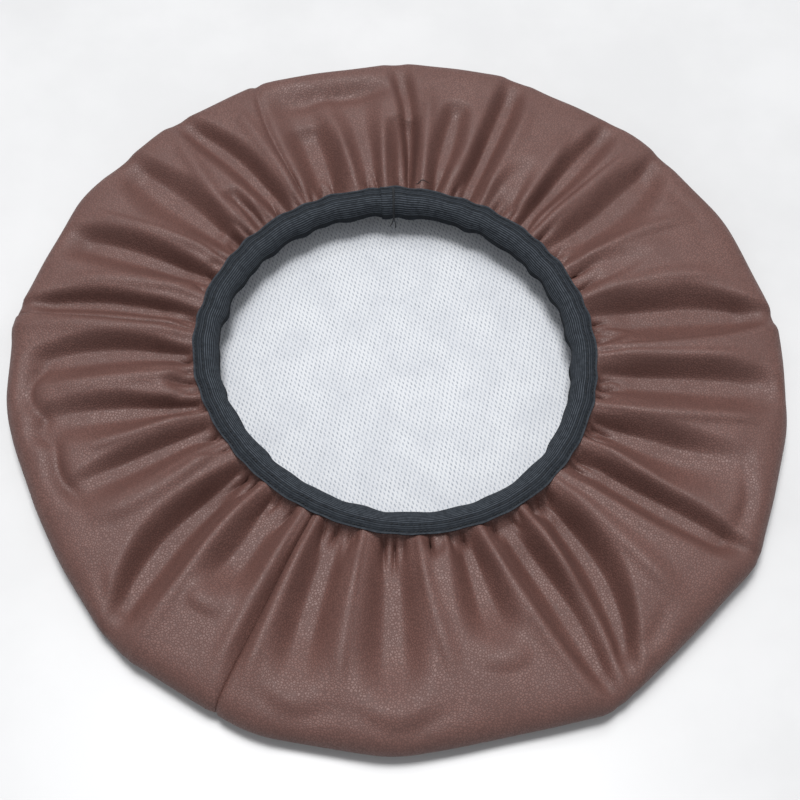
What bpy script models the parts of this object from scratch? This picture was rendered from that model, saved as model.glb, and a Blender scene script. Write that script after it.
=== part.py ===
"""A spare tire cover lying face down, with its elastic mouth up.

The face is a leatherette disc. The gusset is a gathered leatherette strip sewn to it round the rim,
cut in two lengths that meet at two short seams. Both have a knitted backing on the inside. A ribbed
elastic band draws in the mouth. Two rows of stitching hold it, and a bartack closes its lapped ends.
The band, with the thread on it, rises along +Z when the cover is drawn over a tire.

Metres, +Z up. The origin is under the middle of the disc, on the surface that the cover lies on.
Angles are in degrees round +Z, from +X.
"""

import math

import bmesh
import bpy
from mathutils import Vector

# Driving dimensions
RIM_RADIUS = 0.320
LEATHER_THICKNESS = 0.0009
BACKING_THICKNESS = 0.0007
GAP = 0.0003

# The rim is pulled into soft corners: (angle, radius). Between two corners it runs partly straight.
RIM_CORNERS = (
    (7, 0.322), (27, 0.320), (47, 0.320), (71, 0.322), (89, 0.322), (113, 0.323), (131, 0.323),
    (148, 0.325), (171.5, 0.324), (187, 0.320), (229, 0.321), (251, 0.323), (270, 0.323),
    (299, 0.330), (328, 0.327), (350, 0.321),
)
RIM_STRAIGHTNESS = 0.6

# The two seams where the gusset's lengths meet
LEFT_SEAM = 171.5
FRONT_SEAM = 245.5
SEAM_HALF_GAP = 0.06
GUSSET_STEP = 4.0

# The gusset's section, midway between leatherette and backing, from its seam allowance inside the
# rim, round the roll, over the top and in to the mouth: (radius, height)
GUSSET_SECTION = (
    (0.2940, 0.00235), (0.3055, 0.00235), (0.3125, 0.0016), (0.3195, 0.0090), (0.3165, 0.0185),
    (0.3010, 0.0265), (0.2560, 0.0325), (0.2100, 0.0350), (0.1700, 0.0360), (0.1520, 0.0360),
)
FIRST_FOLDED, LAST_FOLDED = 3, 8
FOLD_COUNT = 18
FOLD_DEPTH = 0.0050

# The disc stops inside the roll, and its backing stops at the gusset's seam allowance.
FACE_INSET = 0.016
FACE_THICKNESS = 0.0010
FACE_BACKING_INSET = 0.029

# The band's section, from its outer edge over the crest to its inner edge: (radius, height)
BAND_SECTION = (
    (0.1640, 0.0387), (0.1590, 0.0398), (0.1530, 0.0393), (0.1480, 0.0360), (0.1455, 0.0305),
    (0.1450, 0.0245),
)
BAND_THICKNESS = 0.0012
BAND_STEP = 5.0

# The band's ends lap at the back: the far end climbs over the near one.
LAP_MIDDLE = 91.0
LAP_SPAN = 8.0
LAP_CLIMB = 8.0
LAP_RISE = BAND_THICKNESS + GAP

# Threads: radii, and where the two rows run across the band, as a fraction of its section
THREAD_RADIUS = 0.0004
THREAD_SIDES = 4
OUTER_ROW = 0.08
INNER_ROW = 0.25
BARTACK_WIDTH = 0.003
BARTACK_THICKNESS = 0.0008
BARTACK_START, BARTACK_END, BARTACK_STEPS = 0.36, 0.98, 8


def clear_scene():
    for item in list(bpy.data.objects):
        bpy.data.objects.remove(item, do_unlink=True)


def make_material(name, colour, roughness):
    material = bpy.data.materials.new(name)
    material.use_nodes = True
    shader = material.node_tree.nodes["Principled BSDF"]
    shader.inputs["Base Color"].default_value = (*colour, 1.0)
    shader.inputs["Roughness"].default_value = roughness
    shader.inputs["Metallic"].default_value = 0.0
    return material


def add_object(name, bm, material, parent):
    bmesh.ops.recalc_face_normals(bm, faces=bm.faces)
    mesh = bpy.data.meshes.new(name)
    bm.to_mesh(mesh)
    bm.free()
    mesh.shade_smooth()
    mesh.set_sharp_from_angle(angle=math.radians(50))
    mesh.materials.append(material)
    item = bpy.data.objects.new(name, mesh)
    bpy.context.scene.collection.objects.link(item)
    item.parent = parent
    return item


def smooth(fraction):
    fraction = min(max(fraction, 0.0), 1.0)
    return fraction * fraction * (3.0 - 2.0 * fraction)


def on_circle(radius, height, angle):
    turn = math.radians(angle)
    return Vector((radius * math.cos(turn), radius * math.sin(turn), height))


def rim_radius(angle):
    """The rim's radius: partly the circle through two corners, partly the chord between them."""
    angle = (angle - RIM_CORNERS[0][0]) % 360.0 + RIM_CORNERS[0][0]
    corners = RIM_CORNERS + ((RIM_CORNERS[0][0] + 360.0, RIM_CORNERS[0][1]),)
    for (start, start_radius), (end, end_radius) in zip(corners, corners[1:]):
        if angle <= end:
            break
    across = (angle - start) / (end - start)
    radius = start_radius + (end_radius - start_radius) * across
    half_span = math.radians((end - start) / 2.0)
    from_middle = math.radians(angle - (start + end) / 2.0)
    chord = radius * math.cos(half_span) / math.cos(from_middle)
    return radius + (chord - radius) * RIM_STRAIGHTNESS


def gusset_point(angle, station):
    """A point of the gusset's middle surface. The rim's corners and the folds die out at the mouth."""
    radius, height = GUSSET_SECTION[station]
    mouth_radius = GUSSET_SECTION[-1][0]
    rimward = smooth((radius - mouth_radius) / (RIM_RADIUS - mouth_radius))
    radius += (rim_radius(angle) - RIM_RADIUS) * rimward
    if FIRST_FOLDED <= station <= LAST_FOLDED:
        along = (station - FIRST_FOLDED) / (LAST_FOLDED - FIRST_FOLDED)
        height += FOLD_DEPTH * math.sin(math.pi * along) * math.cos(math.radians(angle) * FOLD_COUNT)
    return on_circle(radius, height, angle)


def gusset_normal(angle, station):
    """The outward direction: away from the cover's inside."""
    turned = gusset_point(angle + 0.5, station) - gusset_point(angle - 0.5, station)
    before = gusset_point(angle, max(station - 1, 0))
    after = gusset_point(angle, min(station + 1, len(GUSSET_SECTION) - 1))
    return turned.cross(after - before).normalized()


def sheet_solid(bm, columns):
    """Skin a thick sheet, with capped ends.

    Each column is a closed loop of points: out along one side of the sheet, back along the other.
    Both sides are cut along the same diagonals, so that two layers of a folded sheet never cross.
    """
    loops = [[bm.verts.new(point) for point in column] for column in columns]
    half = len(loops[0]) // 2
    for left, right in zip(loops, loops[1:]):
        for index in range(len(left)):
            following = (index + 1) % len(left)
            a, b, c, d = left[index], left[following], right[following], right[index]
            if index < half:
                bm.faces.new((a, b, c))
                bm.faces.new((a, c, d))
            else:
                bm.faces.new((a, b, d))
                bm.faces.new((b, c, d))
    for loop in (loops[0], loops[-1]):
        for index in range(half - 1):
            bm.faces.new((loop[index], loop[index + 1], loop[-2 - index], loop[-1 - index]))


def gusset_layer(name, first, last, inner, outer, material, parent):
    """One layer of one length of the gusset, between two distances out from the middle surface."""
    start = first + SEAM_HALF_GAP
    end = last - SEAM_HALF_GAP
    count = round((end - start) / GUSSET_STEP)
    columns = []
    for step in range(count + 1):
        angle = start + (end - start) * step / count
        points = [gusset_point(angle, s) for s in range(len(GUSSET_SECTION))]
        normals = [gusset_normal(angle, s) for s in range(len(GUSSET_SECTION))]
        outside = [p + n * outer for p, n in zip(points, normals)]
        inside = [p + n * inner for p, n in zip(points, normals)]
        columns.append(outside + inside[::-1])
    bm = bmesh.new()
    sheet_solid(bm, columns)
    return add_object(name, bm, material, parent)


def face_disc(name, inset, bottom, thickness, material, parent):
    """A flat disc with the rim's own outline, inset from it."""
    count = round(360.0 / GUSSET_STEP)
    bm = bmesh.new()
    centre = bm.verts.new((0.0, 0.0, bottom))
    angles = [360.0 * step / count for step in range(count)]
    edge = [bm.verts.new(on_circle(rim_radius(angle) - inset, bottom, angle)) for angle in angles]
    for left, right in zip(edge, edge[1:] + edge[:1]):
        bm.faces.new((centre, left, right))
    grown = bmesh.ops.extrude_face_region(bm, geom=bm.faces[:])
    raised = [item for item in grown["geom"] if isinstance(item, bmesh.types.BMVert)]
    bmesh.ops.translate(bm, verts=raised, vec=(0.0, 0.0, thickness))
    return add_object(name, bm, material, parent)


def tube(name, path, across, closed, material, parent):
    """A thread: a round tube along a path, whose section turns about the direction across it."""
    bm = bmesh.new()
    loops = []
    for index, point in enumerate(path):
        before = path[index - 1] if closed or index else point
        after = path[(index + 1) % len(path)] if closed or index < len(path) - 1 else point
        along = (after - before).normalized()
        up = along.cross(across[index]).normalized()
        side = up.cross(along)
        loop = []
        for corner in range(THREAD_SIDES):
            turn = 2.0 * math.pi * corner / THREAD_SIDES
            loop.append(bm.verts.new(point + (side * math.cos(turn) + up * math.sin(turn)) * THREAD_RADIUS))
        loops.append(loop)
    pairs = list(zip(loops, loops[1:]))
    if closed:
        pairs.append((loops[-1], loops[0]))
    for left, right in pairs:
        for corner in range(THREAD_SIDES):
            following = (corner + 1) % THREAD_SIDES
            bm.faces.new((left[corner], right[corner], right[following], left[following]))
    if not closed:
        bm.faces.new(loops[0])
        bm.faces.new(loops[-1][::-1])
    return add_object(name, bm, material, parent)


def rim_seam(material, parent):
    """The stitching round the rim, on the seam allowance inside the roll."""
    inset = RIM_RADIUS - (GUSSET_SECTION[0][0] + GUSSET_SECTION[1][0]) / 2.0
    height = GUSSET_SECTION[0][1] + GAP / 2.0 + BACKING_THICKNESS + GAP + THREAD_RADIUS
    count = round(360.0 / GUSSET_STEP)
    angles = [360.0 * step / count for step in range(count)]
    path = [on_circle(rim_radius(angle) - inset, height, angle) for angle in angles]
    across = [on_circle(1.0, 0.0, angle) for angle in angles]
    return tube("rim_seam_thread", path, across, True, material, parent)


def gusset_seam(name, angle, material, parent):
    """The stitching of a short seam: it runs over the roll and in to the mouth, on the inside."""
    depth = GAP / 2.0 + BACKING_THICKNESS + GAP + THREAD_RADIUS
    stations = range(2, len(GUSSET_SECTION))
    path = [gusset_point(angle, s) - gusset_normal(angle, s) * depth for s in stations]
    across = [on_circle(1.0, 0.0, angle + 90.0) for _ in stations]
    return tube(name, path, across, False, material, parent)


def band_section(fraction, offset):
    """Radius and height at a fraction of the band's width, and offset out from its middle."""
    place = fraction * (len(BAND_SECTION) - 1)
    index = min(int(place), len(BAND_SECTION) - 2)
    (r0, z0), (r1, z1) = BAND_SECTION[index], BAND_SECTION[index + 1]
    part = place - index
    before = BAND_SECTION[max(index - 1, 0)]
    after = BAND_SECTION[min(index + 2, len(BAND_SECTION) - 1)]
    run = Vector((r1 - before[0], z1 - before[1])).lerp(Vector((after[0] - r0, after[1] - z0)), part)
    out = Vector((run.y, -run.x)).normalized()
    return r0 + (r1 - r0) * part + out.x * offset, z0 + (z1 - z0) * part + out.y * offset


def lap_lift(turned):
    """How far the band stands off its own section, this many degrees on from its near end."""
    return LAP_RISE * smooth((turned - (360.0 - LAP_CLIMB)) / LAP_CLIMB)


def thread_lift(turned):
    """The same for what is sewn on top: it climbs with the far end, and comes down past the lap."""
    if turned <= LAP_SPAN + 1.0:
        return LAP_RISE
    return max(lap_lift(turned), LAP_RISE * (1.0 - smooth((turned - LAP_SPAN - 1.0) / LAP_CLIMB)))


def elastic_band(material, parent):
    """One length of elastic, bent into a ring until its far end lies over its near end."""
    near_end = LAP_MIDDLE - LAP_SPAN / 2.0
    count = round((360.0 + LAP_SPAN) / BAND_STEP)
    columns = []
    for step in range(count + 1):
        turned = (360.0 + LAP_SPAN) * step / count
        lift = lap_lift(turned)
        fractions = [index / (len(BAND_SECTION) - 1) for index in range(len(BAND_SECTION))]
        outside = [band_section(f, lift + BAND_THICKNESS / 2.0) for f in fractions]
        inside = [band_section(f, lift - BAND_THICKNESS / 2.0) for f in fractions]
        columns.append([on_circle(r, z, near_end + turned) for r, z in outside + inside[::-1]])
    bm = bmesh.new()
    sheet_solid(bm, columns)
    return add_object("elastic_band", bm, material, parent)


def stitching_row(name, fraction, material, parent):
    """A row of stitching all round the band, lying on it."""
    near_end = LAP_MIDDLE - LAP_SPAN / 2.0
    count = round(360.0 / BAND_STEP)
    rest = BAND_THICKNESS / 2.0 + GAP + THREAD_RADIUS
    path = []
    across = []
    for step in range(count):
        turned = 360.0 * step / count
        radius, height = band_section(fraction, rest + thread_lift(turned))
        path.append(on_circle(radius, height, near_end + turned))
        across.append(on_circle(1.0, 0.0, near_end + turned))
    return tube(name, path, across, True, material, parent)


def bartack(material, parent):
    """A bar of thread across the lap, from inside the stitching to the band's inner edge."""
    bottom = LAP_RISE + BAND_THICKNESS / 2.0 + GAP
    half_width = BARTACK_WIDTH / 2.0
    side = on_circle(half_width, 0.0, LAP_MIDDLE + 90.0)
    columns = []
    for step in range(BARTACK_STEPS + 1):
        fraction = BARTACK_START + (BARTACK_END - BARTACK_START) * step / BARTACK_STEPS
        low = on_circle(*band_section(fraction, bottom), LAP_MIDDLE)
        high = on_circle(*band_section(fraction, bottom + BARTACK_THICKNESS), LAP_MIDDLE)
        columns.append([low - side, low + side, high + side, high - side])
    bm = bmesh.new()
    sheet_solid(bm, columns)
    return add_object("elastic_bartack", bm, material, parent)


def add_empty(name):
    empty = bpy.data.objects.new(name, None)
    bpy.context.scene.collection.objects.link(empty)
    return empty


def build():
    clear_scene()
    leatherette = make_material("brown_leatherette", (0.16, 0.075, 0.062), 0.45)
    knit = make_material("white_knit_backing", (0.78, 0.79, 0.82), 0.9)
    elastic = make_material("black_ribbed_elastic", (0.018, 0.022, 0.028), 0.75)
    brown_thread = make_material("brown_seam_thread", (0.10, 0.045, 0.035), 0.7)
    black_thread = make_material("black_sewing_thread", (0.010, 0.011, 0.013), 0.65)

    shell = add_empty("cloth_shell")
    mouth = add_empty("mouth_ring")

    face_disc("face_panel", FACE_INSET, 0.0, FACE_THICKNESS, leatherette, shell)
    backing_bottom = FACE_THICKNESS + GAP
    face_disc("face_backing", FACE_BACKING_INSET, backing_bottom, BACKING_THICKNESS, knit, shell)

    outer = GAP / 2.0 + LEATHER_THICKNESS
    inner = -GAP / 2.0 - BACKING_THICKNESS
    lengths = (("long", FRONT_SEAM, LEFT_SEAM + 360.0), ("short", LEFT_SEAM, FRONT_SEAM))
    for length, first, last in lengths:
        gusset_layer("gusset_panel_" + length, first, last, GAP / 2.0, outer, leatherette, shell)
        gusset_layer("gusset_backing_" + length, first, last, inner, -GAP / 2.0, knit, shell)

    rim_seam(brown_thread, shell)
    gusset_seam("left_gusset_seam_thread", LEFT_SEAM, brown_thread, shell)
    gusset_seam("front_gusset_seam_thread", FRONT_SEAM, brown_thread, shell)

    elastic_band(elastic, mouth)
    stitching_row("elastic_stitching_outer", OUTER_ROW, black_thread, mouth)
    stitching_row("elastic_stitching_inner", INNER_ROW, black_thread, mouth)
    bartack(black_thread, mouth)


build()
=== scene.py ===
"""Looks of the spare tire cover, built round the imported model.

The cover lies face down with its mouth up. Soft CAD solids are replaced by detailed sheets: a gathered
leatherette gusset with its lining, a knitted backing with real holes, a ribbed elastic and its stitches.

Metres, +Z up. Angles are in degrees round +Z, from +X. Constants that end in _MM are in millimetres.
"""
import math

import bmesh
import bpy
import numpy as np
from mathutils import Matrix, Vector


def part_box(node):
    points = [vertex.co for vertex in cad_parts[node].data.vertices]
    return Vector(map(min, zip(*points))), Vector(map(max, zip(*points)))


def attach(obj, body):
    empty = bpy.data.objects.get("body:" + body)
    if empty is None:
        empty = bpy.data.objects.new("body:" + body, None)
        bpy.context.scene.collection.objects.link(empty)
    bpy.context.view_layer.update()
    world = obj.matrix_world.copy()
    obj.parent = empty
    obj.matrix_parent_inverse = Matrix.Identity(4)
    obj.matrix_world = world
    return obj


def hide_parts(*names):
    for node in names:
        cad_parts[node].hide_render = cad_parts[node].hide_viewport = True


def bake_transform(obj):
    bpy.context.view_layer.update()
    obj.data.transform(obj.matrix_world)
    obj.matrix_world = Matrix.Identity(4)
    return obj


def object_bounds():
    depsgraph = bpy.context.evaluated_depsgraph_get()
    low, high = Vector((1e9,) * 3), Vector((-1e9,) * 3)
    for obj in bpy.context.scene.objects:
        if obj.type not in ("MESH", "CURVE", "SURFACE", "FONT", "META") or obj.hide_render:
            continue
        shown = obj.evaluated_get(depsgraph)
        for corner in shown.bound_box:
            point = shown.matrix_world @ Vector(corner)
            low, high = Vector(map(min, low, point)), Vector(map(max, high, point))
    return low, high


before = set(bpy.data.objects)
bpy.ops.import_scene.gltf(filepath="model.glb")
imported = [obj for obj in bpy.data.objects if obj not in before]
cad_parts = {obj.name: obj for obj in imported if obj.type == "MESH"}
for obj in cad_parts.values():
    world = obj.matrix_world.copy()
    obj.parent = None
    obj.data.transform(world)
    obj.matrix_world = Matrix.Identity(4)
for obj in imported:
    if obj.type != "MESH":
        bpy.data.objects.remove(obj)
cad_low, cad_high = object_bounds()
MM = 0.001

# ---- Dimensions that part.py drives, repeated here ----
RIM_RADIUS = 0.320
RIM_CORNERS = (
    (7, 0.322), (27, 0.320), (47, 0.320), (71, 0.322), (89, 0.322), (113, 0.323), (131, 0.323),
    (148, 0.325), (171.5, 0.324), (187, 0.320), (229, 0.321), (251, 0.323), (270, 0.323),
    (299, 0.330), (328, 0.327), (350, 0.321),
)
LEFT_SEAM = 171.5
FRONT_SEAM = 245.5
LEATHER_THICKNESS = 0.0009
BACKING_THICKNESS = 0.0007
GAP = 0.0003
GUSSET_SECTION = (
    (0.2940, 0.00235), (0.3055, 0.00235), (0.3125, 0.0016), (0.3195, 0.0090), (0.3165, 0.0185),
    (0.3010, 0.0265), (0.2560, 0.0325), (0.2100, 0.0350), (0.1700, 0.0360), (0.1520, 0.0360),
)
BAND_SECTION = (
    (0.1640, 0.0387), (0.1590, 0.0398), (0.1530, 0.0393), (0.1480, 0.0360), (0.1455, 0.0305),
    (0.1450, 0.0245),
)
LAP_MIDDLE = 91.0
LAP_SPAN = 8.0
BAND_THICKNESS = 0.0012

# ---- How the gathered gusset lies ----
# How deep the rim falls back between two corners, against the straight line that joins them
RIM_SAG = 0.78
RIM_SAG_LIMIT = 0.0105
# The rim's corners are rounded over this many degrees, by a mean of this many places.
CORNER_ROUNDING, CORNER_PLACES = 2.6, 7
# A few corners are pulled to a point: (angle, how far out in mm)
POINTED_CORNERS = ((299, 2.0), (328, 1.8), (171.5, 1.2))
# Radii between which a fold runs. Its fraction along is 0 at the band and 1 at the rim.
FOLD_START, FOLD_END = 0.165, 0.320
BAND_EDGE = 0.162

# Hollows between the ridges, each narrowing to a rounded tip: (first and last angle at the band, first and
# last angle halfway, angle, radius and half width of the tip, depth mm)
HOLLOWS = (
    (2.4, 18.4, 2.6, 15.8, 7.5, 0.327, 2.2, 9.5), (31, 43.2, 31, 43.4, 41.5, 0.322, 3, 7),
    (47, 52.6, 46.6, 54.2, 51, 0.316, 2.8, 6), (65.2, 73.5, 65.4, 72.6, 69.5, 0.322, 3, 7.5),
    (76, 81.8, 74, 82.2, 78, 0.272, 3, 5.5), (84.2, 92.6, 84, 92.6, 88.5, 0.250, 4, 5),
    (84.4, 88, 85, 89.6, 90.5, 0.322, 2.4, 4.5), (93.8, 101, 93.5, 102.5, 100, 0.302, 8, 4),
    (103, 116, 103.4, 115.8, 109, 0.256, 5, 4), (104, 115.6, 103, 115.8, 110, 0.306, 6, 4.5),
    (120.6, 128.8, 121.6, 129.8, 129.2, 0.323, 2.6, 7.5),
    (129.8, 134.6, 129.6, 134.2, 132.4, 0.220, 2.4, 3.5), (138, 146, 135.4, 148, 140.5, 0.324, 3.6, 7.5),
    (151.4, 159.2, 151.4, 161, 158, 0.315, 4, 8), (164.6, 171.4, 165.2, 171.6, 171, 0.328, 1.8, 7),
    (177, 184.2, 175, 185.2, 182.4, 0.309, 4, 7.5), (194.4, 199.4, 189, 199, 193, 0.300, 4.4, 7),
    (201, 209.6, 201.4, 210.6, 206.4, 0.303, 3.4, 6.5), (217, 227.8, 217.6, 229.6, 228.6, 0.326, 2.6, 10.5),
    (229.8, 242.4, 230.6, 242.2, 236.6, 0.268, 4.4, 7), (248, 259.2, 248.8, 259.2, 255.6, 0.316, 3.8, 6.5),
    (262.8, 275, 263.2, 275.8, 270, 0.318, 4.4, 7), (283.6, 292, 282, 292.6, 287.4, 0.280, 4.6, 7),
    (293.4, 303.6, 295, 304.4, 299, 0.327, 2, 8.5), (306, 315.2, 303.6, 313.8, 301.5, 0.322, 2.4, 10),
    (321, 330.4, 322, 330.4, 327.4, 0.325, 2.4, 8), (333, 342, 331, 343.6, 338, 0.300, 6, 8.5),
    (345.6, 358, 347.4, 358.8, 354, 0.314, 4.6, 8),
)
# Small hollows, and a raised lobe, close to the band: (angle, half width in degrees, end radius, lip mm,
# depth mm)
POCKETS = (
    (6, 3.6, 0.193, 2.4, 1.6), (24.8, 4.6, 0.240, 1, 2.6), (35, 2.4, 0.186, 0.8, 1.2),
    (59, 5, 0.231, 1.4, 3), (70.4, 2.4, 0.180, 0.8, 1.2), (110.4, 2, 0.190, 1.2, 1.6),
    (132.2, 2.4, 0.216, 1, 1.2), (140.2, 3.2, 0.188, 1.2, 2.4), (151.2, 3.2, 0.180, 1.2, 2.2),
    (188.8, 4, 0.192, 1.2, 2.2), (211.6, 2.2, 0.188, 1.2, 1.6), (222.8, 2.6, 0.186, 1.4, -1.6),
    (280, 3.8, 0.184, 1.2, 2.2), (295.6, 2, 0.184, 0.8, 1.4), (309.6, 2.4, 0.184, 1, 1.4),
    (351.2, 2.6, 0.180, 1.6, 2),
)
# Creases and ridges: (angle at the band, at 0.3, at 0.6, at the rim, height mm, width mm before it, width mm
# after it, reach). A negative height is a crease. Reach is the fraction of the way out that it runs.
FOLDS = (
    (2, 2.2, 3.4, 6.8, 1.6, 7, 3, 1), (19, 18.6, 17.2, 12, 2.2, 6, 9, 0.9),
    (30.2, 30, 29.4, 27, 2.2, 6, 7, 0.9), (45, 44.8, 45, 44.6, 2, 6, 6, 0.95),
    (46.6, 46.4, 46.2, 46.2, -1.6, 3, 3, 0.9), (53.6, 54, 55.4, 56, 2, 5, 8, 0.8),
    (64, 64.2, 64.6, 66, 1.8, 8, 3, 0.9), (82.6, 83, 83.6, 84.6, 2, 6, 5, 0.8),
    (93.2, 93.4, 92.6, 91.4, 1.8, 5, 6, 0.6), (101.8, 102.4, 103.4, 105, 2, 6, 7, 0.55),
    (117, 117, 116.4, 113.8, -2.8, 5, 3.5, 1), (119, 119, 119.2, 120, 2.2, 6, 7, 0.95),
    (135.6, 135.4, 133, 130.8, 2.2, 7, 7, 0.95), (148.2, 148.8, 150.4, 151.6, 2, 4, 8, 0.95),
    (161.2, 162, 163.8, 166.4, 2, 8, 6, 0.9), (171.5, 171.5, 171.5, 171.5, -1.8, 3, 2.5, 1),
    (173.8, 173.6, 173.6, 174.2, 2.4, 5, 8, 1), (186, 186.4, 186.2, 186, 2, 6, 9, 0.85),
    (200, 199.8, 199.4, 198.4, 2, 7, 5, 0.75), (212.6, 213.4, 213, 209, 2.8, 10, 8, 0.85),
    (229, 229.4, 230.4, 232, 2.4, 4, 8, 1), (243, 243, 243.2, 243.6, 1.6, 7, 4, 0.95),
    (245.5, 245.5, 245.5, 245.5, -3.6, 5, 2.6, 1), (247.4, 247.4, 247.6, 248, 2.4, 3.5, 7, 0.95),
    (261, 260.8, 261, 262, 2, 6, 6, 0.85), (276, 276.8, 278.4, 279.6, 1.8, 5, 8, 0.8),
    (292.8, 293.6, 295.4, 298.6, 2.4, 9, 4, 1), (304.8, 304.8, 304, 303, 2.4, 6, 6, 0.55),
    (317.2, 316.6, 316, 315.4, 2.8, 7, 10, 0.95), (320.4, 321.2, 323.2, 327.6, 1.6, 8, 4, 1),
    (331.8, 331.4, 330, 329.4, 2, 5, 7, 0.6), (343.6, 344.6, 347, 349, 2.4, 5, 8, 0.95),
    (359.4, 359.6, 359.6, 0.6, 2.2, 5, 6, 0.9),
)
# Dents that cross the folds, near the rim: (angle, half span in degrees, radius, depth mm, width mm)
DENTS = (
    (31, 7, 0.292, 1.6, 8), (101, 11, 0.284, 6.5, 11), (186.5, 5, 0.297, 7, 7.5),
    (193.5, 3.4, 0.295, 7, 7.5), (201.5, 6, 0.291, 7.5, 7.5), (224, 4, 0.302, 3, 6),
    (256, 5, 0.303, 3.5, 7), (271, 6, 0.304, 4, 7), (308, 5, 0.300, 3, 7), (334, 7, 0.297, 5, 7),
    (354, 4, 0.303, 4, 7),
)
# Angles where the tucks between the long folds meet the band
SMALL_TUCKS = (
    9.6, 12.5, 22.5, 27.2, 33.2, 36.6, 43.4, 48, 54.6, 57.4, 60.2, 68.2, 73.2, 79.2, 86.6, 89.6, 95.4, 98.2,
    108.6, 112, 115, 119.8, 126, 129, 136.6, 139.4, 147, 152.6, 158.6, 167.6, 170.4, 181, 185.6, 188.8,
    192.2, 198.6, 206.6, 208.6, 213.2, 222.2, 226, 232.2, 234.2, 239.6, 249.6, 253.2, 257.4, 259, 266.6,
    269.6, 272, 279, 284.4, 288, 296.8, 302, 304, 308.2, 311.6, 314, 325.2, 327.2, 333.8, 336.2, 338.4,
    346.6, 350, 353.4, 5.4,
)
# Folds and hollows are scaled by these, and lose a share of their height by the rim, where the cloth is taut.
FOLD_RELIEF, HOLLOW_RELIEF = 1.7, 2.2
RIM_CALM = 0.60
# Where a hollow's floor ends and where the ridge starts, as shares of its half width
HOLLOW_FLOOR, HOLLOW_EDGE = 0.22, 1.14
# At the two sides of the cover a hollow is deepest nearer to the back, by this share of its half width.
HOLLOW_LEAN = 0.34
# The cloth stands this much higher, so that the hollows sink it to its mean height
RIDGE_LIFT_MM = 5.2
# How strongly a hollow's tip swells up in the front half of the cover
TIP_SWELL = 0.80
# A tuck's lean in degrees, depth mm, width mm and reach are drawn between these limits, from this seed.
TUCK_SEED = 11
TUCK_LIMITS = ((-7.0, 7.0), (4.0, 7.5), (3.2, 5.2), (0.10, 0.24))
# The mouth is not quite round: (angle, how far in mm its radius departs from the band's own)
MOUTH_OUTLINE = ((0, 0), (90, 2), (135, 6), (175, 4), (215, -7), (240, -8), (280, -1), (305, 3))


# ---------------- shapes shared by the pieces
def smooth(fraction):
    fraction = np.clip(fraction, 0.0, 1.0)
    return fraction * fraction * (3.0 - 2.0 * fraction)


def bell(fraction):
    return np.exp(-(fraction**2))


def curve_through(points, count):
    """Points evenly spaced along a smooth curve through the given ones, and the distance to each."""
    points = np.array(points, float)
    ends = np.vstack([2 * points[0] - points[1], points, 2 * points[-1] - points[-2]])
    steps = np.linspace(0.0, 1.0, 24, endpoint=False)[:, None]
    runs = []
    for a, b, c, d in zip(ends, ends[1:], ends[2:], ends[3:]):
        runs.append(0.5 * (2 * b + (c - a) * steps + (2 * a - 5 * b + 4 * c - d) * steps**2
                           + (3 * b - a - 3 * c + d) * steps**3))
    dense = np.vstack(runs + [points[-1:]])
    length = np.concatenate([[0.0], np.cumsum(np.linalg.norm(np.diff(dense, axis=0), axis=1))])
    places = np.linspace(0.0, length[-1], count)
    even = np.stack([np.interp(places, length, column) for column in dense.T], axis=1)
    return even, places


def round_trip(table, angle):
    """Smooth values between the angles of a table that goes once round."""
    knots = np.array([row[0] for row in table], float)
    values = np.array([row[1] for row in table], float)
    knots = np.concatenate([knots[-2:] - 360, knots, knots[:3] + 360])
    values = np.concatenate([values[-2:], values, values[:3]])
    slopes = np.gradient(values, knots)
    angle = (np.asarray(angle, float) - knots[1]) % 360 + knots[1]
    index = np.clip(np.searchsorted(knots, angle, side="right") - 1, 0, len(knots) - 2)
    span = knots[index + 1] - knots[index]
    t = (angle - knots[index]) / span
    return ((2 * t**3 - 3 * t**2 + 1) * values[index] + (t**3 - 2 * t**2 + t) * span * slopes[index]
            + (3 * t**2 - 2 * t**3) * values[index + 1] + (t**3 - t**2) * span * slopes[index + 1])


def turned_from(angle, centre):
    """Signed difference of two angles, between -180 and 180 degrees."""
    return (angle - centre + 180.0) % 360.0 - 180.0


def taut_rim(angle):
    """The rim's radius with cloth drawn from corner to corner, falling back in between."""
    corners = np.array(RIM_CORNERS + ((RIM_CORNERS[0][0] + 360.0, RIM_CORNERS[0][1]),))
    angle = (np.asarray(angle, float) - corners[0, 0]) % 360.0 + corners[0, 0]
    index = np.clip(np.searchsorted(corners[:, 0], angle, side="right") - 1, 0, len(RIM_CORNERS) - 1)
    span = corners[index + 1, 0] - corners[index, 0]
    share = (angle - corners[index, 0]) / span
    outer = corners[index, 1] + (corners[index + 1, 1] - corners[index, 1]) * share
    chord_sag = RIM_RADIUS * (1.0 - np.cos(np.radians(span / 2)))
    return outer - np.minimum(RIM_SAG * chord_sag, RIM_SAG_LIMIT) * 4.0 * share * (1.0 - share)


def soft_rim(angle):
    """The taut rim with its corners rounded off, apart from the pointed ones."""
    angle = np.asarray(angle, float)
    shifts = np.linspace(-CORNER_ROUNDING, CORNER_ROUNDING, CORNER_PLACES)
    radius = sum(taut_rim(angle + shift) for shift in shifts) / len(shifts)
    for centre, reach in POINTED_CORNERS:
        radius = radius + reach * MM * np.exp(-np.abs(turned_from(angle, centre)) / CORNER_ROUNDING)
    return radius


def on_circle(radius, height, angle):
    turn = np.radians(angle)
    return np.stack(np.broadcast_arrays(radius * np.cos(turn), radius * np.sin(turn), height), axis=-1)


# The fractions of the way out at which a fold's four angles are given
FOLD_KNOTS = (0.0, 0.3, 0.6, 1.0)


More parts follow.
